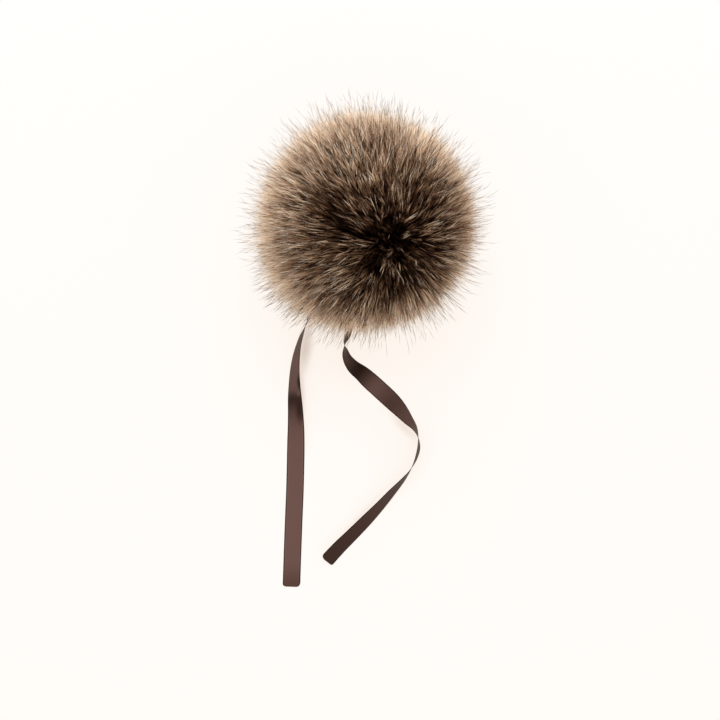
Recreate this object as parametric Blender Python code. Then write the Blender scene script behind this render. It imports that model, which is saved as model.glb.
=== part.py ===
"""Pom pom of long faux fur with two free tails of satin ribbon, lying on a flat surface.

The origin is the middle of the small flat spot on which the ball rests. +Z is up, and the tails lie
towards -Y. The ball is one solid: a faceted ground with one lock of fur on each of its facets, combed
away from a whorl on top, and a short round foot that holds the flat spot. Each tail is a strip that
leaves the foot flat, turns over under the ball and lies down again where it is free.
"""

import math
import random

import bmesh
import bpy
from mathutils import Quaternion, Vector

MM = 0.001

# Ball: the ground that carries the locks, and the reach of the fur
CENTRE = Vector((0, 0, 55 * MM))
GROUND_RADIUS = 46 * MM
GROUND_POINTS = 156
FUR_RADIUS = 62 * MM
LOCK_SPREAD = 5 * MM
SEED = 26

# Foot: the pressed underside, down to the surface
FOOT_RADIUS = 9 * MM
FOOT_HEIGHT = 2.2 * MM
FOOT_SIDES = 12
FOOT_CLEAR_DEG = 18

# Locks: share of the way from ground to tip, and how far each corner is drawn to the lock's middle
ROOT_INSET = 0.35 * MM
BELLY = {"along": 0.5, "drawn": 0.12}
SHOULDER = {"along": 0.8, "drawn": 0.42}
TIP_WANDER = 0.5
SHORTEST_LOCK = 0.2
TIE_CLEARANCE = 1.0 * MM

# Comb: the fur leans away from the whorl, most at the tips
WHORL = Vector((0.20, -0.25, 0.947)).normalized()
COMB_DEG = 15
COMB_RISE_DEG = 25

# Swells of the fur's outline
SWELLS = (
    # azimuth, elevation, spread in degrees; extra in millimetres
    {"azimuth": 222, "elevation": -5, "spread": 30, "extra": 4.5},
    {"azimuth": 332, "elevation": 0, "spread": 24, "extra": 2.6},
    {"azimuth": 5, "elevation": 0, "spread": 18, "extra": 1.2},
    {"azimuth": 165, "elevation": 5, "spread": 22, "extra": -1.6},
)

# Ribbon
TIE_WIDTH = 10.5 * MM
TIE_THICKNESS = 1 * MM
TIE_STEP = 2.5 * MM
TIE_END_STEP = 0.5 * MM

# Tails: the middle of the ribbon in plan (x, y in millimetres) and its tilt in degrees. At 0 it lies
# flat, a positive tilt raises the edge on the right hand of someone who walks from the ball to the
# free end, and at 90 it stands on its left edge.
TIE_COLUMNS = ("x", "y", "tilt")
TIE_LEFT = (
    (-6.5, -6.5, -180),
    (-15, -17.5, -180),
    (-23, -31.5, -160),
    (-30, -44.5, -118),
    (-32.4, -50, -103),
    (-34.6, -55, -92),
    (-36.5, -59.5, -84),
    (-38.1, -63.5, -77),
    (-39.5, -68, -73),
    (-41, -75, -65),
    (-42, -84, -56),
    (-42.2, -92.5, -47),
    (-42, -101, -36),
    (-41.6, -109.5, -28),
    (-41.4, -118, -19),
    (-41.5, -126.5, -9),
    (-41.7, -138.5, 0),
    (-42.1, -154.5, 0),
    (-42.8, -172, 0),
    (-43.5, -191, 0),
    (-44.2, -212.5, 0),
)
TIE_RIGHT = (
    (3.5, -9.5, 180),
    (2.5, -23, 180),
    (-1, -36, 160),
    (-5.5, -48.5, 132),
    (-8, -54.5, 123),
    (-9.8, -59, 116),
    (-11.2, -64, 109),
    (-12.4, -68, 95),
    (-12.2, -72, 74),
    (-11, -76.5, 60),
    (-7.5, -81.5, 43),
    (-2.5, -85.5, 28),
    (2.5, -90, 10),
    (7.5, -94.5, 0),
    (12.4, -99, 6),
    (17, -103.5, 20),
    (21, -108, 37),
    (25, -113, 55),
    (29, -118, 73),
    (31, -123, 87),
    (31.4, -129, 96),
    (29.7, -136, 94),
    (26.5, -142.5, 85),
    (22.5, -148, 75),
    (15.5, -156, 63),
    (8, -164.5, 54),
    (-0.5, -173.5, 45),
    (-8.4, -181.5, 41),
    (-15.5, -188.5, 37),
    (-23.4, -197, 34),
)

# Rounded corners of the free ends: how much each takes off the width and off the length
CORNERS_LEFT = {"left": (2.0 * MM, 3.2 * MM), "right": (1.8 * MM, 1.8 * MM)}
CORNERS_RIGHT = {"left": (1.2 * MM, 1.2 * MM), "right": (3.2 * MM, 3.0 * MM)}


def clear_scene():
    for item in list(bpy.data.objects):
        bpy.data.objects.remove(item, do_unlink=True)


def make_material(name, colour, roughness):
    material = bpy.data.materials.new(name)
    material.use_nodes = True
    shader = material.node_tree.nodes["Principled BSDF"]
    shader.inputs["Base Color"].default_value = (*colour, 1)
    shader.inputs["Roughness"].default_value = roughness
    shader.inputs["Metallic"].default_value = 0
    material.diffuse_color = (*colour, 1)
    return material


def add_object(name, bm, material):
    bmesh.ops.recalc_face_normals(bm, faces=bm.faces)
    mesh = bpy.data.meshes.new(name)
    bm.to_mesh(mesh)
    bm.free()
    mesh.materials.append(material)
    item = bpy.data.objects.new(name, mesh)
    bpy.context.scene.collection.objects.link(item)
    return item


# Curves through stations


def slopes_at(values, distances):
    """Slope of the values at each station: the parabola's through it and its two neighbours."""
    steps = [b - a for a, b in zip(distances, distances[1:])]
    rises = [(b - a) / step for a, b, step in zip(values, values[1:], steps)]
    inner = [
        (rises[i] * steps[i + 1] + rises[i + 1] * steps[i]) / (steps[i] + steps[i + 1])
        for i in range(len(steps) - 1)
    ]
    return [rises[0], *inner, rises[-1]]


def read_curve(values, distances, wanted):
    """Value at a distance along a smooth curve through the stations (cubic Hermite pieces)."""
    slopes = slopes_at(values, distances)
    i = max(k for k in range(len(distances) - 1) if distances[k] <= wanted or k == 0)
    step = distances[i + 1] - distances[i]
    t = (wanted - distances[i]) / step
    return (
        values[i] * (1 + 2 * t) * (1 - t) ** 2
        + slopes[i] * step * t * (1 - t) ** 2
        + values[i + 1] * t**2 * (3 - 2 * t)
        + slopes[i + 1] * step * t**2 * (t - 1)
    )


# Ribbon tails


def tie_distances(length):
    """Distances of the sections from the ball's end: even steps, closer over the rounded free end."""
    end_zone = 3.5 * MM
    body_steps = round((length - end_zone) / TIE_STEP)
    end_steps = round(end_zone / TIE_END_STEP)
    body = [(length - end_zone) * i / body_steps for i in range(body_steps)]
    return body + [length - end_zone + end_zone * i / end_steps for i in range(end_steps + 1)]


def corner_cut(corner, to_end):
    """Width that a rounded corner (an ellipse's quarter) takes off at a distance from the end."""
    width, length = corner
    if to_end >= length:
        return 0
    return width * (1 - math.sqrt(1 - (1 - to_end / length) ** 2))


def tie_path(stations):
    """Centre line of a tail: a list of (distance, centre, tilt) with the lower edge on the surface."""
    rows = [dict(zip(TIE_COLUMNS, row)) for row in stations]
    xs = [row["x"] * MM for row in rows]
    ys = [row["y"] * MM for row in rows]
    tilts = [math.radians(row["tilt"]) for row in rows]
    at = [0]
    for i in range(len(rows) - 1):
        at.append(at[-1] + math.hypot(xs[i + 1] - xs[i], ys[i + 1] - ys[i]))
    path = []
    for distance in tie_distances(at[-1]):
        tilt = read_curve(tilts, at, distance)
        z = TIE_WIDTH / 2 * abs(math.sin(tilt)) + TIE_THICKNESS / 2 * abs(math.cos(tilt))
        centre = Vector((read_curve(xs, at, distance), read_curve(ys, at, distance), z))
        path.append((at[-1] - distance, centre, tilt))
    return path


def tie_sections(path, corners):
    """Four corners of the ribbon's section at each point of its path."""
    sections = []
    for i, (to_end, centre, tilt) in enumerate(path):
        before = path[max(i - 1, 0)][1]
        after = path[min(i + 1, len(path) - 1)][1]
        forward = (after - before).normalized()
        right = Vector((forward.y, -forward.x, 0)).normalized()
        up = right.cross(forward)
        across = right * math.cos(tilt) + up * math.sin(tilt)
        face = up * math.cos(tilt) - right * math.sin(tilt)
        left_half = TIE_WIDTH / 2 - corner_cut(corners["left"], to_end)
        right_half = TIE_WIDTH / 2 - corner_cut(corners["right"], to_end)
        half_face = face * TIE_THICKNESS / 2
        sections.append(
            [
                centre - across * left_half - half_face,
                centre + across * right_half - half_face,
                centre + across * right_half + half_face,
                centre - across * left_half + half_face,
            ]
        )
    return sections


def make_tie(name, path, corners, material):
    """A strip: the ribbon's section extruded from station to station."""
    sections = tie_sections(path, corners)
    bm = bmesh.new()
    root = [bm.verts.new(point) for point in sections[0]]
    cap = bm.faces.new(root)
    for section in sections[1:]:
        cap = bmesh.ops.extrude_discrete_faces(bm, faces=[cap])["faces"][0]
        for vertex, point in zip(cap.verts, section):
            vertex.co = point
    bm.faces.new(reversed(root))
    return add_object(name, bm, material)


# Fur


def from_angles(azimuth_deg, elevation_deg):
    azimuth = math.radians(azimuth_deg)
    elevation = math.radians(elevation_deg)
    flat = math.cos(elevation)
    return Vector((flat * math.cos(azimuth), flat * math.sin(azimuth), math.sin(elevation)))


def fur_reach(direction):
    """Radius of the fur's outline in a direction: a sphere with a few soft swells."""
    reach = FUR_RADIUS
    for swell in SWELLS:
        away = direction.angle(from_angles(swell["azimuth"], swell["elevation"]))
        reach += swell["extra"] * MM * math.exp(-((away / math.radians(swell["spread"])) ** 2))
    return reach


def combed(direction, radius):
    """Place of a point of fur: its direction is turned away from the whorl, more towards the tips."""
    away = direction.angle(WHORL)
    axis = WHORL.cross(direction)
    lean = math.tanh(away / math.radians(COMB_RISE_DEG)) * math.cos(away / 2) ** 2
    share = (radius - GROUND_RADIUS) / (FUR_RADIUS - GROUND_RADIUS)
    turned = Quaternion(axis, math.radians(COMB_DEG) * lean * share) @ direction
    return CENTRE + turned * radius


def ground_directions():
    """Directions of the ground's points: a golden spiral, then a ring for the foot."""
    golden = math.pi * (3 - math.sqrt(5))
    lowest = -math.cos(math.radians(FOOT_CLEAR_DEG))
    directions = []
    for i in range(GROUND_POINTS):
        z = 1 - 2 * (i + 0.5) / GROUND_POINTS
        if z > lowest:
            flat = math.sqrt(1 - z * z)
            directions.append(Vector((flat * math.cos(golden * i), flat * math.sin(golden * i), z)))
    drop = math.hypot(FOOT_RADIUS, CENTRE.z - FOOT_HEIGHT)
    for i in range(FOOT_SIDES):
        turn = 2 * math.pi * i / FOOT_SIDES
        rim = Vector((FOOT_RADIUS * math.cos(turn), FOOT_RADIUS * math.sin(turn), FOOT_HEIGHT - CENTRE.z))
        directions.append(rim / drop)
    return directions


def make_ground(bm):
    """The fur's ground with its foot. Returns the facets that carry a lock."""
    for direction in ground_directions():
        bm.verts.new(direction)
    bmesh.ops.convex_hull(bm, input=bm.verts)
    foot_depth = (CENTRE.z - FOOT_HEIGHT) / math.hypot(FOOT_RADIUS, CENTRE.z - FOOT_HEIGHT)
    rim = [vertex for vertex in bm.verts if vertex.co.z < -foot_depth + 1e-4]
    for vertex in bm.verts:
        vertex.co = CENTRE + vertex.co.normalized() * GROUND_RADIUS
    for vertex in rim:
        flat = Vector((vertex.co.x, vertex.co.y, 0)).normalized() * FOOT_RADIUS
        vertex.co = Vector((flat.x, flat.y, FOOT_HEIGHT))
    sole = [face for face in bm.faces if all(vertex in rim for vertex in face.verts)]
    sole = bmesh.ops.dissolve_faces(bm, faces=sole)["region"]
    pressed = bmesh.ops.extrude_discrete_faces(bm, faces=sole)["faces"]
    for vertex in pressed[0].verts:
        vertex.co.z = 0
    low = set(rim) | set(pressed[0].verts)
    return [face for face in bm.faces if not low.intersection(face.verts)]


def near_tie(point, paths):
    """Height that the fur has to keep over a point in plan, because a tail passes there."""
    needed = 0
    for path in paths:
        for _, centre, tilt in path:
            half = TIE_WIDTH / 2 * abs(math.cos(tilt)) + TIE_THICKNESS / 2 * abs(math.sin(tilt))
            if math.hypot(point.x - centre.x, point.y - centre.y) < half + 2 * TIE_CLEARANCE:
                needed = max(needed, 2 * centre.z + TIE_CLEARANCE)
    return needed


def lock_rings(corners, weights, radius):
    """Points of one lock: its belly ring, its shoulder ring and its tip."""
    middle = (corners[0] + corners[1] + corners[2]) / 3
    rings = []
    for ring in (BELLY, SHOULDER):
        at = GROUND_RADIUS + ring["along"] * (radius - GROUND_RADIUS)
        rings.append([combed(corner.lerp(middle, ring["drawn"]).normalized(), at) for corner in corners])
    leading = sum((corner * weight for corner, weight in zip(corners, weights)), Vector())
    return rings, combed(leading.normalized(), radius)


def clears(rings, tip, paths):
    """True where a lock stays over the surface and over the tails."""
    points = [tip]
    for ring in rings:
        points += ring
        points += [(a + b) / 2 for a, b in zip(ring, ring[1:] + ring[:1])]
        points.append(sum(ring, Vector()) / 3)
    points += [(tip + point) / 2 for point in rings[-1]]
    return all(point.z >= near_tie(point, paths) for point in points)


def fitted_lock(corners, weights, full, paths):
    """The longest lock that clears: shortened in even steps, then rested level on the surface."""
    steps = 60
    for i in range(steps + 1):
        share = 1 - (1 - SHORTEST_LOCK) * i / steps
        radius = GROUND_RADIUS + share * (full - GROUND_RADIUS)
        rings, tip = lock_rings(corners, weights, radius)
        if clears(rings, tip, paths):
            break
    step_drop = (full - GROUND_RADIUS) / steps
    if i > 0 and tip.z < step_drop:
        tip.z = 0
    return rings, tip


def make_fur(paths, material):
    """The ball: a lock on each facet of the ground, set in a little from the facet's edges."""
    rng = random.Random(SEED)
    bm = bmesh.new()
    for face in make_ground(bm):
        corners = [(vertex.co - CENTRE).normalized() for vertex in face.verts]
        weights = [1 / 3 + TIP_WANDER * (rng.random() - 0.5) for _ in corners]
        middle = (corners[0] + corners[1] + corners[2]).normalized()
        full = fur_reach(middle) + LOCK_SPREAD * rng.random()
        rings, tip = fitted_lock(corners, weights, full, paths)
        bmesh.ops.inset_individual(bm, faces=[face], thickness=ROOT_INSET, use_even_offset=True)
        for ring in rings:
            face = bmesh.ops.extrude_discrete_faces(bm, faces=[face])["faces"][0]
            for vertex, point in zip(face.verts, ring):
                vertex.co = point
        bmesh.ops.poke(bm, faces=[face])["verts"][0].co = tip
    return add_object("fur_ball", bm, material)


def main():
    clear_scene()
    fur = make_material("fur", (0.16, 0.10, 0.06), 0.75)
    ribbon_left = make_material("ribbon_left", (0.13, 0.08, 0.065), 0.45)
    ribbon_right = make_material("ribbon_right", (0.13, 0.08, 0.065), 0.45)
    left_path = tie_path(TIE_LEFT)
    right_path = tie_path(TIE_RIGHT)
    make_fur((left_path, right_path), fur)
    make_tie("tie_left", left_path, CORNERS_LEFT, ribbon_left)
    make_tie("tie_right", right_path, CORNERS_RIGHT, ribbon_right)


if __name__ == "__main__":
    main()
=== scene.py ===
"""Finish of a pom pom: long combed faux fur over a dark ground, and two satin ribbon tails on a pale floor.

The fur is made of joined meshes of fine three-sided strands in two kinds. The pile is dense and grows in
clumps whose tips lean together, near black at the root and tan at the tip. The guard hairs are longer and
sparser, tan below a fine dark tip. All of it is combed away from a whorl on top of the ball. The tails are
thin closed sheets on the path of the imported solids, with a woven edge and a heat-cut end.
"""

import math

import bpy
import numpy as np
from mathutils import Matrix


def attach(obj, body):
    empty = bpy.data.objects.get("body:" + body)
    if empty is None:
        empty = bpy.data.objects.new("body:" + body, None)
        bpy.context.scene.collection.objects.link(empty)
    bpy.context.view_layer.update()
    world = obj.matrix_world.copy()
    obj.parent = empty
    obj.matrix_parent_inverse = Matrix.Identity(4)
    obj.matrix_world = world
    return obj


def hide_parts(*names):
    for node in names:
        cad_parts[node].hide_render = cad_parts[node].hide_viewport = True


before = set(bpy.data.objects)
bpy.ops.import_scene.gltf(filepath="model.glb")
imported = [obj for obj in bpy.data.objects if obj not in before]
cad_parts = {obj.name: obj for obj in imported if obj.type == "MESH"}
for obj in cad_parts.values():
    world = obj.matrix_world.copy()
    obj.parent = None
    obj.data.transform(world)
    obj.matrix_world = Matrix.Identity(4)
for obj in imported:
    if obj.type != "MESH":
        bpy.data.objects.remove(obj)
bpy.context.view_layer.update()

bl_info = {
    "name": "Fur Pom Pom",
    "version": (1, 0, 0),
    "blender": (4, 5, 0),
    "location": "View3D > Sidebar > Pom Pom",
    "description": "Combed faux fur ball with two satin ribbon tails, dressed over its packed solids",
    "category": "Add Mesh",
}

MM = 0.001
BODY = "root"

# Ball
CENTRE = np.array((0, 0, 55)) * MM
GROUND_RADIUS = 40 * MM
WHORL = np.array((0.43, -0.45, 0.78))
WHORL = WHORL / np.linalg.norm(WHORL)
SKIN_GAP = 0.12 * MM
COMB_RISE_DEG = 14
LONGEST_GUARD = 75 * MM
# How far the map's u goes on round a strand from its tone, so that the map has an area
TONE_WIDTH = 0.002

SWELLS = (
    # azimuth, elevation, spread in degrees; extra in millimetres
    {"azimuth": 226, "elevation": -5, "spread": 36, "extra": 5.0},
    {"azimuth": 332, "elevation": 0, "spread": 24, "extra": 2.8},
    {"azimuth": 266, "elevation": 0, "spread": 15, "extra": 2.2},
    {"azimuth": 299, "elevation": 0, "spread": 13, "extra": -2.0},
    {"azimuth": 5, "elevation": 0, "spread": 18, "extra": 1.0},
    {"azimuth": 165, "elevation": 5, "spread": 22, "extra": -1.4},
)
PATCHES = (
    # azimuth, elevation, spread in degrees; tone is added to the strands whose tips are there
    {"azimuth": 310, "elevation": 68, "spread": 9, "tone": -0.16},
    {"azimuth": 322, "elevation": 76, "spread": 6, "tone": -0.62},
    {"azimuth": 345, "elevation": 79, "spread": 4, "tone": -0.30},
    {"azimuth": 270, "elevation": 81, "spread": 4, "tone": -0.36},
    {"azimuth": 200, "elevation": 74, "spread": 6, "tone": -0.84},
    {"azimuth": 175, "elevation": 68, "spread": 5, "tone": -0.34},
    {"azimuth": 170, "elevation": 56, "spread": 7, "tone": -0.16},
    {"azimuth": 145, "elevation": 66, "spread": 6, "tone": -0.30},
    {"azimuth": 50, "elevation": 77, "spread": 5, "tone": -0.18},
    {"azimuth": 105, "elevation": 80, "spread": 5, "tone": -0.26},
    {"azimuth": 225, "elevation": 70, "spread": 5, "tone": 0.24},
    {"azimuth": 275, "elevation": 67, "spread": 5, "tone": -0.30},
    {"azimuth": 335, "elevation": 64, "spread": 5, "tone": -0.22},
    {"azimuth": 295, "elevation": 60, "spread": 4, "tone": -0.20},
    {"azimuth": 290, "elevation": 37, "spread": 8, "tone": -0.20},
    {"azimuth": 330, "elevation": 53, "spread": 9, "tone": -0.14},
    {"azimuth": 310, "elevation": 45, "spread": 7, "tone": -0.22},
    {"azimuth": 225, "elevation": 37, "spread": 8, "tone": 0.16},
    {"azimuth": 300, "elevation": 22, "spread": 7, "tone": 0.20},
    {"azimuth": 260, "elevation": 32, "spread": 7, "tone": 0.16},
    {"azimuth": 25, "elevation": 52, "spread": 7, "tone": -0.14},
    {"azimuth": 80, "elevation": 57, "spread": 7, "tone": 0.14},
    {"azimuth": 50, "elevation": 32, "spread": 15, "tone": 0.14},
    {"azimuth": 150, "elevation": 30, "spread": 11, "tone": 0.06},
    {"azimuth": 335, "elevation": 35, "spread": 7, "tone": 0.12},
    {"azimuth": 10, "elevation": 34, "spread": 7, "tone": 0.10},
)

# Tails: the middle of the ribbon in plan (x, y in millimetres) and its tilt in degrees. At 0 it lies
# flat, a positive tilt raises the edge on the right hand of someone who walks from the ball to the
# free end, and at 90 it stands on its left edge.
TIE_COLUMNS = ("x", "y", "tilt")
TIES = {
    "tie_left": (
        (-6.5, -6.5, -180),
        (-15, -17.5, -180),
        (-23, -31.5, -160),
        (-30, -44.5, -118),
        (-32.4, -50, -103),
        (-34.6, -55, -92),
        (-36.5, -59.5, -84),
        (-38.1, -63.5, -77),
        (-39.5, -68, -73),
        (-41, -75, -65),
        (-42, -84, -56),
        (-42.2, -92.5, -47),
        (-42, -101, -36),
        (-41.6, -109.5, -28),
        (-41.4, -118, -19),
        (-41.5, -126.5, -9),
        (-41.7, -138.5, 0),
        (-42.1, -154.5, 0),
        (-42.8, -172, 0),
        (-43.5, -191, 0),
        (-44.2, -212.5, 0),
    ),
    "tie_right": (
        (3.5, -9.5, 180),
        (2.5, -23, 180),
        (-1, -36, 160),
        (-5.5, -48.5, 132),
        (-8, -54.5, 123),
        (-9.8, -59, 116),
        (-11.2, -64, 109),
        (-12.4, -68, 95),
        (-12.2, -72, 74),
        (-11, -76.5, 60),
        (-7.5, -81.5, 43),
        (-2.5, -85.5, 28),
        (2.5, -90, 10),
        (7.5, -94.5, 0),
        (12.4, -99, 6),
        (17, -103.5, 20),
        (21, -108, 37),
        (25, -113, 55),
        (29, -118, 73),
        (31, -123, 87),
        (31.4, -129, 96),
        (29.7, -136, 94),
        (26.5, -142.5, 85),
        (22.5, -148, 75),
        (15.5, -156, 63),
        (8, -164.5, 54),
        (-0.5, -173.5, 45),
        (-8.4, -181.5, 41),
        (-15.5, -188.5, 37),
        (-23.4, -197, 34),
    ),
}
# Painted shadows of the raised tails, soft shades in the floor's own light: middle x and y, half length
# and half width in millimetres, the way its length points in degrees from +X, and the factor in the middle
PAINTED_FLOOR_SHADOWS = (
    (-36.0, -70.5, 24, 6.6, 81, (0.72, 0.66, 0.63)),
    (-38.4, -96.6, 20, 3.8, 92, (0.84, 0.79, 0.77)),
    (23, -117.5, 16, 4.2, -46, (0.91, 0.86, 0.83)),
    (-3, -170, 34, 2.6, 47, (0.95, 0.92, 0.90)),
)
# Rounded corners of the free ends: width and length that each takes off, in millimetres
TIE_CORNERS = {
    "tie_left": {"left": (2.0, 3.2), "right": (1.8, 1.8)},
    "tie_right": {"left": (1.2, 1.2), "right": (3.2, 3.0)},
}
# Painted shade, painted reflection and a few painted highlights on the satin of each tail: the factor at
# shares of its length, and painted spots on it: place along, place across from the left edge, half length
# and half width as shares, and the factor in the middle
TIE_PAINTED_LIGHT_AND_SHADE = {
    "tie_left": {
        "along": (
            (0, 0.45), (0.30, 0.55), (0.36, 0.93), (0.452, 0.98), (0.472, 0.22), (0.490, 0.24),
            (0.512, 0.58), (0.54, 0.80), (0.57, 0.95), (0.62, 1.0), (0.93, 1.0), (0.965, 0.80), (1.0, 0.58),
        ),
        "painted_spots": (
            (0.432, 0.10, 0.032, 0.26, 0.12),
            (0.516, 0.22, 0.045, 0.42, 0.38),
            (0.466, 0.20, 0.012, 0.2, 1.7),
        ),
    },
    "tie_right": {
        "along": (
            (0, 0.16), (0.24, 0.16), (0.272, 0.45), (0.30, 0.66), (0.32, 0.50), (0.342, 0.15), (0.362, 0.17),
            (0.388, 0.72), (0.411, 1.06), (0.435, 0.88), (0.466, 0.54), (0.495, 0.64), (0.524, 0.76),
            (0.58, 0.60), (0.65, 0.42), (0.72, 0.46), (0.785, 0.53), (0.85, 0.43), (0.907, 0.37),
            (1.0, 0.33),
        ),
        "painted_spots": ((0.300, 0.15, 0.035, 0.40, 0.55),),
    },
}
RIBBON_WIDTH = 10.5 * MM
RIBBON_THICKNESS = 0.3 * MM
TIE_STEP = 0.45 * MM
TIE_ACROSS = 10

# Stage, in metres: half the floor, and the camera straight above
FLOOR_HALF = 3.0
FLOOR_BOUNCE = (0.05, 0.11, 0.165)
ROOM_COLOUR = (1, 0.985, 0.97)
LAMP_PLACE = (-0.05, 0.60, 0.80)
LAMP_SIZE = 0.8
CAMERA_PLACE = (-3.4 * MM, -77.6 * MM, 1.0)
CAMERA_LENS = 84.03
CAMERA_SENSOR = 36


# Settings


class PomFurSettings(bpy.types.PropertyGroup):
    """Sizes and colours of the fur ball"""

    pile_reach: bpy.props.FloatProperty(
        name="Pile reach", description="Radius of the ball at the tips of the dense pile",
        default=0.0587, min=0.045, max=0.062, unit="LENGTH", precision=4,
    )
    guard_reach: bpy.props.FloatProperty(
        name="Guard hair reach", description="Radius that the shortest guard hairs reach",
        default=0.0600, min=0.045, max=0.062, unit="LENGTH", precision=4,
    )
    comb: bpy.props.FloatProperty(
        name="Comb", description="How far the tips are turned away from the whorl",
        default=math.radians(12), min=0, max=math.radians(40), subtype="ANGLE",
    )
    locks: bpy.props.IntProperty(
        name="Locks", description="Locks of fur on the whole ball", default=18000, min=500, max=20000,
    )
    strands: bpy.props.IntProperty(
        name="Pile strands", description="Strands of pile in each lock", default=4, min=3, max=40,
    )
    guards: bpy.props.FloatProperty(
        name="Guard hairs", description="Share of the locks that have a guard hair",
        default=0.44, min=0, max=1,
    )
    width: bpy.props.FloatProperty(
        name="Strand width", description="Width of a strand of pile at its middle",
        default=0.00027, min=0.0001, max=0.001, unit="LENGTH", precision=5,
    )
    root_colour: bpy.props.FloatVectorProperty(
        name="Root colour", description="Colour of the fur near the ground",
        default=(0.014, 0.0045, 0.0015), size=3, min=0, max=1, subtype="COLOR",
    )
    band_colour: bpy.props.FloatVectorProperty(
        name="Band colour", description="Colour of the tan band near the tips",
        default=(1.0, 0.72, 0.47), size=3, min=0, max=1, subtype="COLOR",
    )


class PomRibbonSettings(bpy.types.PropertyGroup):
    """Sizes and colours of the two ribbon tails"""

    width: bpy.props.FloatProperty(
        name="Width", description="Width of the ribbon", default=RIBBON_WIDTH, min=0.005, max=0.02,
        unit="LENGTH", precision=4,
    )
    thickness: bpy.props.FloatProperty(
        name="Thickness", description="Thickness of the ribbon",
        default=RIBBON_THICKNESS, min=0.0001, max=0.001, unit="LENGTH", precision=5,
    )
    colour: bpy.props.FloatVectorProperty(
        name="Satin colour", description="Colour of the satin", default=(0.113, 0.063, 0.052),
        size=3, min=0, max=1, subtype="COLOR",
    )


class PomStageSettings(bpy.types.PropertyGroup):
    """Floor and light"""

    floor_colour: bpy.props.FloatVectorProperty(
        name="Floor colour", description="Colour of the pale floor", default=(1.0, 0.878, 0.768),
        size=3, min=0, max=1, subtype="COLOR",
    )
    glow: bpy.props.FloatProperty(
        name="Floor glow", description="Light that the floor itself gives", default=0.945, min=0, max=2,
    )
    sky: bpy.props.FloatProperty(
        name="Sky", description="Strength of the even light from all round", default=1.10, min=0, max=3,
    )
    key: bpy.props.FloatProperty(
        name="Key light", description="Power of the large lamp behind the ball", default=6, min=0, max=100,
    )


# Directions and curves


def unit(vectors):
    """Vectors divided by their length."""
    return vectors / np.linalg.norm(vectors, axis=-1, keepdims=True)


def from_angles(azimuth_deg, elevation_deg):
    """Unit vector of an azimuth from +X and an elevation above the floor."""
    azimuth, elevation = math.radians(azimuth_deg), math.radians(elevation_deg)
    flat = math.cos(elevation)
    return np.array((flat * math.cos(azimuth), flat * math.sin(azimuth), math.sin(elevation)))


def spiral_directions(count):
    """Evenly spread unit vectors: z falls in even steps as the azimuth turns by the golden angle."""
    index = np.arange(count) + 0.5
    z = 1 - 2 * index / count
    turn = math.pi * (3 - math.sqrt(5)) * index
    flat = np.sqrt(1 - z**2)
    return np.column_stack((flat * np.cos(turn), flat * np.sin(turn), z))


def bumps(directions, table, key):
    """Sum of soft bumps on a sphere: each is its value times exp(-(angle / spread) squared)."""
    total = np.zeros(len(directions))
    for row in table:
        middle = from_angles(row["azimuth"], row["elevation"])
        angle = np.degrees(np.arccos(np.clip(directions @ middle, -1, 1)))
        total += row[key] * np.exp(-((angle / row["spread"]) ** 2))
    return total


def tangents(directions):
    """Two unit vectors at right angles to each direction: one points away from the whorl, one sideways."""
    away = unit((directions @ WHORL)[..., None] * directions - WHORL + 1e-9)
    return away, np.cross(directions, away)


def comb_lean(directions, comb):
    """Angle that tips turn away from the whorl: it rises close by, then falls as cos(angle / 2) squared."""
    angle = np.arccos(np.clip(directions @ WHORL, -1, 1))
    return comb * (1 - np.exp(-((angle / math.radians(COMB_RISE_DEG)) ** 2))) * np.cos(angle / 2) ** 2


def read_curve(values, at, wanted):
    """Smooth curve through stations: cubic Hermite pieces whose slopes are those of local parabolas."""
    slopes = np.gradient(values, at)
    i = np.clip(np.searchsorted(at, wanted, side="right") - 1, 0, len(at) - 2)
    step = at[i + 1] - at[i]
    t = (wanted - at[i]) / step
    start = values[i] * (1 + 2 * t) * (1 - t) ** 2 + slopes[i] * step * t * (1 - t) ** 2
    return start + values[i + 1] * t**2 * (3 - 2 * t) + slopes[i + 1] * step * t**2 * (t - 1)


# Meshes


def add_piece(name, points, faces, uv, material):
    """Object from arrays: points (n, 3), faces (m, 3 or 4) and a map value for each point or face corner."""
    sides = faces.shape[1]
    mesh = bpy.data.meshes.new(name)
    mesh.vertices.add(len(points))
    mesh.vertices.foreach_set("co", points.astype(np.float32).ravel())
    mesh.loops.add(faces.size)
    mesh.loops.foreach_set("vertex_index", faces.astype(np.int32).ravel())
    mesh.polygons.add(len(faces))
    mesh.polygons.foreach_set("loop_start", np.arange(0, faces.size, sides, dtype=np.int32))
    layer = mesh.uv_layers.new(name="OFBake")
    corner_uv = uv if len(uv) == faces.size else uv[faces.ravel()]
    layer.data.foreach_set("uv", corner_uv.astype(np.float32).ravel())
    mesh.update(calc_edges=True)
    mesh.shade_smooth()
    mesh.materials.append(material)
    piece = bpy.data.objects.new(name, mesh)
    bpy.context.scene.collection.objects.link(piece)
    return piece


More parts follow.
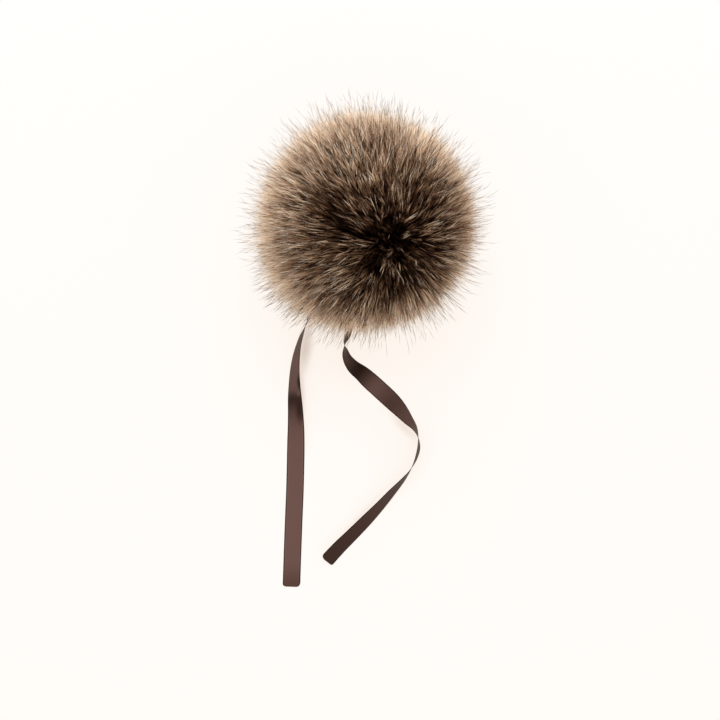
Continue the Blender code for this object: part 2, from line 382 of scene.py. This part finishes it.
def strand_arrays(paths, radii, tones):
    """Closed three-sided strands along paths (strand, ring, xyz) whose last point is the tip.

    Each ring but the last has three points round the path, at its radius and 120 degrees apart. The map's
    u is the strand's tone and its v runs from 0 at the root to 1 at the tip.
    """
    count, rings = paths.shape[:2]
    along = unit(paths[:, -1] - paths[:, 0])
    first = unit(np.cross(along, np.array((0.31, 0.87, -0.38))))
    second = np.cross(along, first)
    turn = np.radians((0, 120, 240))
    spokes = first[:, None] * np.cos(turn)[:, None] + second[:, None] * np.sin(turn)[:, None]
    hoops = paths[:, :-1, None] + spokes[:, None] * radii[:, :-1, None, None]
    points = np.concatenate((hoops.reshape(count, -1, 3), paths[:, -1:]), axis=1)

    ring, side = np.meshgrid(np.arange(rings - 2), np.arange(3), indexing="ij")
    here, beside = 3 * ring + side, 3 * ring + (side + 1) % 3
    walls = np.stack((here, beside, beside + 3, here, beside + 3, here + 3), axis=-1).reshape(-1, 3)
    last = 3 * (rings - 2)
    tip = np.array([(last + k, last + (k + 1) % 3, 3 * (rings - 1)) for k in range(3)])
    faces = np.concatenate((walls, tip, [(0, 2, 1)]))
    per = points.shape[1]
    faces = (faces[None] + per * np.arange(count)[:, None, None]).reshape(-1, 3)

    length = np.linalg.norm(np.diff(paths, axis=1), axis=2).cumsum(axis=1)
    v = np.concatenate((np.zeros((count, 1)), length / length[:, -1:]), axis=1)
    v = np.concatenate((np.repeat(v[:, :-1], 3, axis=1), v[:, -1:]), axis=1)
    u = tones[:, None] + TONE_WIDTH * np.concatenate((np.tile((0, 1, 2), rings - 1), [1]))
    uv = np.stack((u, v), axis=-1).reshape(-1, 2)
    return points.reshape(-1, 3), faces, uv


# Fur


def drift(rng, directions, pitch):
    """Soft random field on the sphere, about -1 to 1: the mean of eight sine waves along random axes."""
    axes = unit(rng.normal(0, 1, (8, 3)))
    turns = 2 * math.pi / math.radians(pitch)
    phases = rng.random(8) * 2 * math.pi
    return np.sin(directions @ axes.T * turns + phases).sum(axis=1) / 3


def plan_locks(fur):
    """Locks that the pile and the guard hairs share: a root direction, two turns, a length and a tone each.

    The lean turns a lock's tip away from the whorl and the sway turns it sideways. Both follow soft fields,
    so that neighbours part from each other in some places and meet in others.
    """
    rng = np.random.default_rng(11)
    heads = spiral_directions(fur.locks)
    heads = unit(heads + rng.normal(0, 0.012, heads.shape))
    count = len(heads)
    own = math.radians(3.2)
    shared = math.radians(1.6)
    away, _ = tangents(heads)
    lean = comb_lean(heads, fur.comb)[:, None]
    shown = heads * np.cos(lean) + away * np.sin(lean)
    return {
        "heads": heads,
        "lean": comb_lean(heads, fur.comb) * rng.normal(1, 0.15, count)
        + shared * drift(rng, heads, 24) + rng.normal(0, own, count),
        "sway": shared * drift(rng, heads, 24) + rng.normal(0, own, count),
        "length": rng.normal(0, 1.4 * MM, count)
        + 1.2 * MM * drift(rng, heads, 40) + bumps(heads, SWELLS, "extra") * MM,
        # The tone takes in the painted backlight low on the ball
        "tone": 0.5 + whorl_tone(heads) + rim_painted_backlight(heads) + bumps(shown, PATCHES, "tone")
        + rng.normal(0, 1, count) * tone_noise(heads),
    }


def grow(rng, locks, reach, s, gather, spread, stray):
    """Paths of strands in locks as (strand, ring, xyz), and the lock that each belongs to.

    S has the share of the way from root to tip of each ring.
    A lock's middle line starts along its root direction and turns towards its tip: at share s it has turned
    by the lean and the sway times s to the 1.7, and a strand's radius goes evenly from the ground to its own
    reach. The strands lie round that line within a disc that narrows from spread to gather times spread,
    and stray from it by s squared. Reach has a row for each lock and a column for each of its strands.
    """
    count, per_lock = reach.shape
    heads = locks["heads"]
    away, side = tangents(heads)
    s = np.array(s)
    bend = s**1.7
    turn_away = locks["lean"][:, None] * bend
    turn_side = locks["sway"][:, None] * bend
    line = unit(
        heads[:, None] * np.cos(turn_away)[..., None]
        + away[:, None] * np.sin(turn_away)[..., None]
        + side[:, None] * turn_side[..., None]
    )

    disc = np.sqrt(rng.random((count, per_lock))) * spread
    turn = rng.random((count, per_lock)) * 2 * math.pi
    offset = away[:, None] * (disc * np.cos(turn))[..., None]
    offset = offset + side[:, None] * (disc * np.sin(turn))[..., None]
    narrow = 1 - (1 - gather) * s**0.7
    radius = GROUND_RADIUS + (reach[..., None] - GROUND_RADIUS) * s
    paths = line[:, None] * radius[..., None] + offset[:, :, None] * narrow[:, None]
    stray = np.broadcast_to(stray, (count, per_lock))[..., None, None]
    paths = paths + rng.normal(0, 1, (count, per_lock, 1, 3)) * stray * (s**2)[:, None]
    return (CENTRE + paths).reshape(-1, len(s), 3), np.repeat(np.arange(count), per_lock)


def settle(paths):
    """Fur that would go below the floor is laid on it, and moves outwards by part of what it sank."""
    low = SKIN_GAP + 0.15 * MM
    sunk = np.maximum(low - paths[..., 2], 0)
    outward = paths[..., :2] / np.maximum(np.linalg.norm(paths[..., :2], axis=-1, keepdims=True), MM)
    paths[..., :2] += outward * (0.7 * sunk)[..., None]
    paths[..., 2] = np.maximum(paths[..., 2], low)
    return paths


def clear_of_ties(paths):
    """True for each strand that stays out of the tails' way under the ball and beside it."""
    keep = np.ones(len(paths), bool)
    for name in TIES:
        centres, tilts, _ = tie_line(name, 2 * MM, RIBBON_WIDTH, RIBBON_THICKNESS)
        reach = RIBBON_WIDTH / 2 * np.abs(np.cos(tilts)) + 0.9 * MM
        tops = centres[:, 2] + RIBBON_WIDTH / 2 * np.abs(np.sin(tilts)) + 0.5 * MM
        for ring in range(1, paths.shape[1]):
            near = np.flatnonzero(keep & (paths[:, ring, 2] < 12 * MM))
            gap = np.linalg.norm(paths[near, ring, None, :2] - centres[None, :, :2], axis=2)
            hit = (gap < reach) & (paths[near, ring, 2, None] < tops)
            keep[near[hit.any(axis=1)]] = False
    return keep


def whorl_tone(heads):
    """Tone added by the angle from the whorl: dark within 60 degrees of it, light from about 80 on."""
    angle = np.degrees(np.arccos(np.clip(heads @ WHORL, -1, 1)))
    return np.interp(angle, (0, 20, 40, 60, 80, 180), (-0.26, -0.27, -0.22, -0.10, 0.08, 0.10))


def rim_painted_backlight(heads):
    """Painted backlight: tone added by height, light from about 25 degrees above the ball's middle down."""
    elevation = np.degrees(np.arcsin(np.clip(heads[:, 2], -1, 1)))
    return np.interp(elevation, (-90, 6, 24, 36, 46, 90), (0.40, 0.40, 0.28, 0.08, -0.02, 0))


def tone_noise(heads):
    """How much the tone differs from lock to lock by height: least from the ball's middle down."""
    elevation = np.degrees(np.arcsin(np.clip(heads[:, 2], -1, 1)))
    return np.interp(elevation, (-90, 10, 40, 60, 90), (0.16, 0.16, 0.30, 0.28, 0.22))


def grow_pile(fur):
    """The dense pile: the lower part of each lock, whose strands close up towards the tip."""
    rng = np.random.default_rng(12)
    locks = plan_locks(fur)
    reach = fur.pile_reach + 0.6 * locks["length"][:, None]
    reach = reach + rng.normal(0, 1.8 * MM, (len(reach), fur.strands))
    fine = rng.random(reach.shape) < 0.32
    reach = reach + np.minimum(rng.exponential(3 * MM, reach.shape), 7 * MM) * fine
    stray = (0.2 + 1.2 * fine) * MM
    paths, lock = grow(rng, locks, reach, (0, 0.66, 1), gather=0.35, spread=0.90 * MM, stray=stray)
    tones = locks["tone"][lock] + rng.normal(0, 0.12, len(lock))
    return finish_strands(rng, paths, tones, np.array((0.8, 1, 0)) * fur.width)


def grow_guards(fur):
    """The guard hairs: they stand in the same locks, their lengths fall off evenly and their tips part."""
    rng = np.random.default_rng(23)
    locks = plan_locks(fur)
    chosen = rng.random(fur.locks) < fur.guards
    locks = {key: values[chosen] for key, values in locks.items()}
    reach = fur.guard_reach + locks["length"][:, None]
    reach = np.minimum(reach + rng.exponential(4.6 * MM, reach.shape), LONGEST_GUARD)
    paths, lock = grow(rng, locks, reach, (0, 0.88, 1), gather=0.9, spread=1.5 * MM, stray=1.7 * MM)
    tones = locks["tone"][lock] + rng.normal(0, 0.12, len(lock))
    return finish_strands(rng, paths, tones, np.array((0.2, 0.60, 0)) * fur.width)


def finish_strands(rng, paths, tones, widths):
    """Lays the strands on the floor, drops those in the tails' way and gives the rest their radii.

    Widths has the width at each ring of a strand of middling thickness.
    """
    tones = np.clip(tones, 0.01, 0.98)
    paths = settle(paths)
    keep = clear_of_ties(paths)
    paths, tones = paths[keep], tones[keep]
    own = 1 + 0.25 * (rng.random(len(paths)) - 0.5)
    return paths, own[:, None] * widths / 2, tones


def by_sector(paths, sectors):
    """Number of the sector of azimuth in which each strand's root stands."""
    azimuth = np.arctan2(paths[:, 0, 1] - CENTRE[1], paths[:, 0, 0] - CENTRE[0])
    return np.floor((azimuth + math.pi) / (2 * math.pi) * sectors - 1e-9).astype(int)


# Ribbon


def tie_line(name, step, width, thickness):
    """Centre line of a tail: points, tilts and the distance to the free end, its lower edge on the floor."""
    table = {key: np.array(values, float) for key, values in zip(TIE_COLUMNS, zip(*TIES[name]))}
    xs, ys, tilts = table["x"] * MM, table["y"] * MM, np.radians(table["tilt"])
    at = np.concatenate(([0], np.hypot(np.diff(xs), np.diff(ys)).cumsum()))
    wanted = np.linspace(0, at[-1], round(at[-1] / step) + 1)
    tilt = read_curve(tilts, at, wanted)
    z = width / 2 * np.abs(np.sin(tilt)) + thickness / 2 * np.abs(np.cos(tilt))
    points = np.column_stack((read_curve(xs, at, wanted), read_curve(ys, at, wanted), z))
    return points, tilt, at[-1] - wanted


def corner_cut(corner, to_end):
    """Width that a rounded corner, a quarter of an ellipse, takes off at each distance from the end."""
    width, length = corner[0] * MM, corner[1] * MM
    share = np.clip(1 - to_end / length, 0, 1)
    return width * (1 - np.sqrt(1 - share**2))


def tie_arrays(name, width, thickness):
    """Closed thin sheet along the tail's line: its section is a flat loop, front across and back again."""
    points, tilt, to_end = tie_line(name, TIE_STEP, width, thickness)
    forward = unit(np.gradient(points, axis=0))
    right = unit(np.column_stack((forward[:, 1], -forward[:, 0], np.zeros(len(points)))))
    up = np.cross(right, forward)
    across = right * np.cos(tilt)[:, None] + up * np.sin(tilt)[:, None]
    face = up * np.cos(tilt)[:, None] - right * np.sin(tilt)[:, None]

    left = width / 2 - corner_cut(TIE_CORNERS[name]["left"], to_end)
    right_half = width / 2 - corner_cut(TIE_CORNERS[name]["right"], to_end)
    share = np.linspace(0, 1, TIE_ACROSS + 1)
    place = -left[:, None] + (left + right_half)[:, None] * share
    picot = 0.03 * MM * (np.cos(np.arange(len(points)) * TIE_STEP * 2 * math.pi / (1.4 * MM)) - 1)
    rim = np.abs(2 * share - 1) ** 8
    place = place + np.sign(2 * share - 1) * rim * picot[:, None] * (to_end > 4 * MM)[:, None]
    half = thickness / 2 * (1 - 0.35 * np.abs(2 * share - 1) ** 6)
    middle = points[:, None] + across[:, None] * place[..., None]
    front = middle + face[:, None] * half[None, :, None]
    back = middle - face[:, None] * half[None, :, None]
    loops = np.concatenate((front, back[:, ::-1]), axis=1)

    rows, cols = loops.shape[:2]
    row, col = np.meshgrid(np.arange(rows - 1), np.arange(cols), indexing="ij")
    a, b = row * cols + col, row * cols + (col + 1) % cols
    walls = np.stack((a, b, b + cols, a + cols), axis=-1).reshape(-1, 4)
    k = np.arange(TIE_ACROSS)
    start = np.stack((k, cols - 1 - k, cols - 2 - k, k + 1), axis=-1)
    end = (rows - 1) * cols + start[:, ::-1]
    faces = np.concatenate((walls, start, end))

    length = np.arange(rows) / (rows - 1)
    u = np.concatenate((0.02 + 0.46 * share, 0.98 - 0.46 * share))
    uv = np.stack((np.tile(u, (rows, 1)), np.tile(length[:, None], (1, cols))), axis=-1)
    return loops.reshape(-1, 3), faces, uv.reshape(-1, 2), len(points) * TIE_STEP


# Materials


def new_material(name):
    """Empty node material with its shader and output."""
    material = bpy.data.materials.new(name)
    material.use_nodes = True
    return material, material.node_tree, material.node_tree.nodes["Principled BSDF"]


def add_node(tree, kind, inputs=None, **values):
    """Node of a kind with its properties set and its inputs linked or set."""
    node = tree.nodes.new(kind)
    for key, value in values.items():
        setattr(node, key, value)
    for key, value in (inputs or {}).items():
        if isinstance(value, bpy.types.NodeSocket):
            tree.links.new(value, node.inputs[key])
        else:
            node.inputs[key].default_value = value
    return node


def add_ramp(tree, factor, stops, interpolation="LINEAR"):
    """Colour ramp with (position, colour) stops."""
    node = add_node(tree, "ShaderNodeValToRGB", {"Fac": factor})
    node.color_ramp.interpolation = interpolation
    elements = node.color_ramp.elements
    while len(elements) < len(stops):
        elements.new(0.5)
    for element, (position, colour) in zip(elements, stops):
        element.position = position
        element.color = (*colour, 1)
    return node.outputs["Color"]


def multiply_colours(tree, first, second):
    """Product of two colours."""
    node = add_node(tree, "ShaderNodeMix", data_type="RGBA", blend_type="MULTIPLY")
    node.inputs["Factor"].default_value = 1
    tree.links.new(first, node.inputs["A"])
    tree.links.new(second, node.inputs["B"])
    return node.outputs["Result"]


def soft_spot(tree, u, v, middle, half, colour):
    """White but for an ellipse of the map plane, whose middle has the colour and whose edge fades."""
    scaled = []
    for value, start, size in zip((u, v), middle, half):
        moved = add_node(tree, "ShaderNodeMath", {0: value, 1: start}, operation="SUBTRACT")
        scaled.append(add_node(tree, "ShaderNodeMath", {0: moved.outputs[0], 1: size}, operation="DIVIDE"))
    both = add_node(tree, "ShaderNodeCombineXYZ", {"X": scaled[0].outputs[0], "Y": scaled[1].outputs[0]})
    far = add_node(tree, "ShaderNodeVectorMath", {0: both.outputs[0]}, operation="LENGTH")
    return add_ramp(tree, far.outputs["Value"], ((0, colour), (1, (1, 1, 1))), "EASE")


def map_axes(tree):
    """The piece's own map as separate u and v."""
    own_map = add_node(tree, "ShaderNodeUVMap", uv_map="OFBake")
    split = add_node(tree, "ShaderNodeSeparateXYZ", {"Vector": own_map.outputs["UV"]})
    return split.outputs["X"], split.outputs["Y"]


def fur_material(name, stops, shift):
    """Fur coloured along the strand: the ramp reads v, moved by the strand's tone, which also shades it."""
    material, tree, shader = new_material(name)
    u, v = map_axes(tree)
    moved = add_node(tree, "ShaderNodeMath", {0: u, 1: shift, 2: v}, operation="MULTIPLY_ADD")
    centred = add_node(tree, "ShaderNodeMath", {0: moved.outputs[0], 1: -shift / 2}, operation="ADD")
    along = add_ramp(tree, centred.outputs[0], stops)
    # The tone that sets this dimming includes the painted backlight low on the ball
    dimming = (
        (0, (0.08, 0.05, 0.035)),
        (0.35, (0.25, 0.18, 0.145)),
        (0.62, (0.62, 0.535, 0.485)),
        (0.85, (1, 1, 1)),
    )
    shade = add_ramp(tree, u, dimming)
    tree.links.new(multiply_colours(tree, along, shade), shader.inputs["Base Color"])
    shader.inputs["Roughness"].default_value = 0.62
    shader.inputs["Specular IOR Level"].default_value = 0.03
    return material


def blend_colours(first, second, share):
    """Colour between two: each channel is the first times (second / first) to the power of the share."""
    return tuple(a * (b / a) ** share for a, b in zip(first, second))


def pile_material(fur):
    """Pile: near black for almost half its length, then brown, and tan at the tip."""
    root, band = tuple(fur.root_colour), tuple(fur.band_colour)
    stops = (
        (0.0, root),
        (0.42, blend_colours(root, band, 0.12)),
        (0.64, blend_colours(root, band, 0.50)),
        (0.80, blend_colours(root, band, 0.92)),
        (0.90, band),
        (1.0, (1.0, 0.84, 0.67)),
    )
    return fur_material("pile_fur", stops, 0.44)


def guard_material(fur):
    """Guard hair: dark at the root, tan and then pale, with a dark brown tip."""
    root, band = tuple(fur.root_colour), tuple(fur.band_colour)
    stops = (
        (0.0, root),
        (0.26, blend_colours(root, band, 0.10)),
        (0.46, blend_colours(root, band, 0.70)),
        (0.60, band),
        (0.74, (1.0, 0.90, 0.78)),
        (0.82, (0.90, 0.72, 0.54)),
        (0.87, (0.26, 0.155, 0.10)),
        (1.0, (0.12, 0.068, 0.045)),
    )
    return fur_material("guard_fur", stops, 0.07)


def ground_material(fur):
    """Dark wool at the roots of the fur, mottled a little."""
    material, tree, shader = new_material("fur_ground")
    place = add_node(tree, "ShaderNodeTexCoord")
    mottle = {"Vector": place.outputs["Object"], "Scale": 420, "Detail": 3}
    noise = add_node(tree, "ShaderNodeTexNoise", mottle)
    root = tuple(fur.root_colour)
    colour = add_ramp(tree, noise.outputs["Fac"], ((0.3, tuple(c / 2 for c in root)), (0.7, root)))
    tree.links.new(colour, shader.inputs["Base Color"])
    shader.inputs["Roughness"].default_value = 0.9
    shader.inputs["Specular IOR Level"].default_value = 0.1
    return material


def deepen_painted_shade(shade):
    """Colour factor of painted shade or highlight on the satin: green and blue fall faster than red."""
    return shade, shade**1.15, shade**1.3


def ribbon_material(name, ribbon, painted_shading):
    """Satin on its own map: darker woven edges with a light rib inside them, and painted light and shade.

    The front takes u from 0.02 to 0.48 across and the back takes it from 0.98 back to 0.52, so the
    distance of u from 0.5 gives the place across. It is 0 at the front's left and the back's right edge.
    """
    material, tree, shader = new_material(name)
    u, v = map_axes(tree)
    from_middle = add_node(tree, "ShaderNodeMath", {0: u, 1: 0.5}, operation="SUBTRACT")
    distance = add_node(tree, "ShaderNodeMath", {0: from_middle.outputs[0]}, operation="ABSOLUTE")
    across = add_node(tree, "ShaderNodeMapRange", {"Value": distance.outputs[0]})
    for key, value in zip(("From Min", "From Max", "To Min", "To Max"), (0.48, 0.02, 0, 1)):
        across.inputs[key].default_value = value
    across = across.outputs["Result"]

    satin = tuple(ribbon.colour)
    dark, light = tuple(0.30 * c for c in satin), tuple(1.25 * c for c in satin)
    edge = (0, 0.045, 0.075, 0.095, 0.125, 0.875, 0.905, 0.925, 0.955, 1)
    tone = (dark, dark, satin, light, satin, satin, light, satin, dark, dark)
    colour = add_ramp(tree, across, tuple(zip(edge, tone)))
    # Painted shade, painted reflection of the dark fur and painted highlights, along the tail and in spots
    along = add_ramp(tree, v, tuple((place, deepen_painted_shade(shade)) for place, shade in painted_shading["along"]), "B_SPLINE")
    colour = multiply_colours(tree, colour, along)
    for place_along, place_across, half_length, half_width, factor in painted_shading["painted_spots"]:
        spot = soft_spot(
            tree, across, v, (place_across, place_along), (half_width, half_length), deepen_painted_shade(factor)
        )
        colour = multiply_colours(tree, colour, spot)
    tree.links.new(colour, shader.inputs["Base Color"])
    shader.inputs["Roughness"].default_value = 0.5
    shader.inputs["Specular IOR Level"].default_value = 0.06
    return material


def floor_glow(tree, stage):
    """Colour of the floor's own light, with soft shadows of the raised tails painted into it."""
    place_on = add_node(tree, "ShaderNodeTexCoord").outputs["Object"]
    plain = add_node(tree, "ShaderNodeRGB")
    plain.outputs["Color"].default_value = (*stage.floor_colour, 1)
    colour = plain.outputs["Color"]
    # Painted shadows of the raised tails, multiplied into the floor's own light
    for x, y, half_length, half_width, turn, factor in PAINTED_FLOOR_SHADOWS:
        mapped = add_node(tree, "ShaderNodeMapping", {"Vector": place_on}, vector_type="TEXTURE")
        mapped.inputs["Location"].default_value = (x * MM, y * MM, 0)
        mapped.inputs["Rotation"].default_value = (0, 0, math.radians(turn))
        split = add_node(tree, "ShaderNodeSeparateXYZ", {"Vector": mapped.outputs["Vector"]})
        spot = soft_spot(
            tree, split.outputs["X"], split.outputs["Y"], (0, 0), (half_length * MM, half_width * MM), factor
        )
        colour = multiply_colours(tree, colour, spot)
    return colour


# Building blocks called by the operators


def place(piece, slot, *nodes):
    """Rides the piece on the body and hides the solids it stands for. The slot is not used."""
    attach(piece, BODY)
    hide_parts(*nodes)


def build_ground(fur):
    """Lumpy dark ball under the fur: radius r times 1 plus soft waves of azimuth and polar angle."""
    rows, cols = 36, 72
    polar = np.linspace(0, math.pi, rows + 1)[1:-1, None]
    azimuth = np.arange(cols)[None] * 2 * math.pi / cols
    radius = GROUND_RADIUS * (1 + 0.008 * np.sin(7 * azimuth + 3 * polar) * np.sin(9 * polar))
    flat = radius * np.sin(polar)
    body = np.stack((flat * np.cos(azimuth), flat * np.sin(azimuth), radius * np.cos(polar)), axis=-1)
    poles = np.array(((0, 0, GROUND_RADIUS), (0, 0, -GROUND_RADIUS)))
    points = np.concatenate((body.reshape(-1, 3), poles)) + CENTRE
    row, col = np.meshgrid(np.arange(rows - 2), np.arange(cols), indexing="ij")
    a, b = row * cols + col, row * cols + (col + 1) % cols
    walls = np.stack((a, a + cols, b + cols, a, b + cols, b), axis=-1).reshape(-1, 3)
    k = np.arange(cols)
    last = (rows - 2) * cols
    top = np.stack((np.full(cols, len(points) - 2), k, (k + 1) % cols), axis=-1)
    bottom = np.stack((np.full(cols, len(points) - 1), last + (k + 1) % cols, last + k), axis=-1)
    faces = np.concatenate((walls, top, bottom))
    direction = unit(points - CENTRE)
    uv = np.column_stack((0.5 + 0.45 * direction[:, 0], 0.5 + 0.45 * direction[:, 1]))
    piece = add_piece("fur_ground", points, faces, uv, ground_material(fur))
    place(piece, "fur", "fur_ball")


def build_strands(name, strands, sectors, material):
    """Strands as joined meshes, one for each sector of azimuth."""
    paths, radii, tones = strands
    sector = by_sector(paths, sectors)
    for number in range(sectors):
        chosen = sector == number
        points, faces, uv = strand_arrays(paths[chosen], radii[chosen], tones[chosen])
        piece = add_piece(f"{name}_{number + 1}", points, faces, uv, material)
        place(piece, "fur", "fur_ball")


def build_tie(name, ribbon):
    """One tail, a laid sheet of the ribbon's width and its own length."""
    points, faces, uv, length = tie_arrays(name, ribbon.width, ribbon.thickness)
    side = name.removeprefix("tie_")
    satin = ribbon_material(f"satin_{side}", ribbon, TIE_PAINTED_LIGHT_AND_SHADE[name])
    piece = add_piece(f"ribbon_{side}", points, faces, uv, satin)
    place(piece, "ribbon", name)


def build_stage(stage):
    """Pale glowing floor, even sky, a large lamp behind the ball and a camera straight above."""
    scene = bpy.context.scene
    half = FLOOR_HALF
    corners = ((-half, -half, 0), (half, -half, 0), (half, half, 0), (-half, half, 0))
    mesh = bpy.data.meshes.new("floor")
    mesh.from_pydata(corners, [], [(0, 1, 2, 3)])
    floor = bpy.data.objects.new("floor", mesh)
    scene.collection.objects.link(floor)
    material, tree, shader = new_material("pale_floor")
    shader.inputs["Base Color"].default_value = (*FLOOR_BOUNCE, 1)
    shader.inputs["Roughness"].default_value = 0.9
    shader.inputs["Specular IOR Level"].default_value = 0.0
    tree.links.new(floor_glow(tree, stage), shader.inputs["Emission Color"])
    shader.inputs["Emission Strength"].default_value = stage.glow
    mesh.materials.append(material)

    world = bpy.data.worlds.new("pale_room")
    world.use_nodes = True
    back = world.node_tree.nodes["Background"]
    back.inputs["Color"].default_value = (*ROOM_COLOUR, 1)
    back.inputs["Strength"].default_value = stage.sky
    scene.world = world
    scene.view_settings.view_transform = "Standard"

    add_lamp("key_lamp", LAMP_PLACE, LAMP_SIZE, stage.key)

    camera_data = bpy.data.cameras.new("camera")
    camera_data.sensor_width = CAMERA_SENSOR
    camera_data.lens = CAMERA_LENS
    camera_data.clip_start = 0.05
    camera = bpy.data.objects.new("camera", camera_data)
    camera.location = CAMERA_PLACE
    scene.collection.objects.link(camera)
    scene.camera = camera


def add_lamp(name, place_at, size, power):
    """Square area lamp that faces the ball."""
    data = bpy.data.lights.new(name, "AREA")
    data.size = size
    data.energy = power
    lamp = bpy.data.objects.new(name, data)
    lamp.location = place_at
    aim = CENTRE - np.array(place_at)
    lamp.rotation_euler = (
        math.atan2(math.hypot(aim[0], aim[1]), -aim[2]),
        0,
        math.atan2(aim[1], aim[0]) - math.pi / 2,
    )
    bpy.context.scene.collection.objects.link(lamp)


# Operators and panel


class POM_OT_stage(bpy.types.Operator):
    """Add the floor, the light and the camera"""

    bl_idname = "pom.stage"
    bl_label = "Stage"

    def execute(self, context):
        build_stage(context.scene.pom_stage)
        return {"FINISHED"}


class POM_OT_ground(bpy.types.Operator):
    """Add the dark ground under the fur"""

    bl_idname = "pom.ground"
    bl_label = "Fur ground"

    def execute(self, context):
        build_ground(context.scene.pom_fur)
        return {"FINISHED"}


class POM_OT_pile(bpy.types.Operator):
    """Add the dense pile"""

    bl_idname = "pom.pile"
    bl_label = "Pile"

    def execute(self, context):
        fur = context.scene.pom_fur
        build_strands("pile", grow_pile(fur), 4, pile_material(fur))
        return {"FINISHED"}


class POM_OT_guards(bpy.types.Operator):
    """Add the long guard hairs"""

    bl_idname = "pom.guards"
    bl_label = "Guard hairs"

    def execute(self, context):
        fur = context.scene.pom_fur
        build_strands("guard", grow_guards(fur), 2, guard_material(fur))
        return {"FINISHED"}


class POM_OT_ties(bpy.types.Operator):
    """Add the two ribbon tails"""

    bl_idname = "pom.ties"
    bl_label = "Ribbon tails"

    def execute(self, context):
        for name in TIES:
            build_tie(name, context.scene.pom_ribbon)
        return {"FINISHED"}


class POM_PT_panel(bpy.types.Panel):
    """Settings and steps of the pom pom"""

    bl_label = "Pom Pom"
    bl_space_type = "VIEW_3D"
    bl_region_type = "UI"
    bl_category = "Pom Pom"

    def draw(self, context):
        column = self.layout.column()
        for settings in (context.scene.pom_fur, context.scene.pom_ribbon, context.scene.pom_stage):
            for key in settings.bl_rna.properties.keys():
                if key not in ("rna_type", "name"):
                    column.prop(settings, key)
        for step in STEPS:
            column.operator(step.bl_idname)


STEPS = (POM_OT_stage, POM_OT_ground, POM_OT_pile, POM_OT_guards, POM_OT_ties)
SETTINGS = {"pom_fur": PomFurSettings, "pom_ribbon": PomRibbonSettings, "pom_stage": PomStageSettings}


def register():
    for item in (*SETTINGS.values(), *STEPS, POM_PT_panel):
        bpy.utils.register_class(item)
    for key, item in SETTINGS.items():
        setattr(bpy.types.Scene, key, bpy.props.PointerProperty(type=item))


def unregister():
    for key in SETTINGS:
        delattr(bpy.types.Scene, key)
    for item in (POM_PT_panel, *reversed(STEPS), *SETTINGS.values()):
        bpy.utils.unregister_class(item)


def main():
    register()
    bpy.ops.pom.stage()
    bpy.ops.pom.ground()
    bpy.ops.pom.pile()
    bpy.ops.pom.guards()
    bpy.ops.pom.ties()


if __name__ == "__main__":
    main()
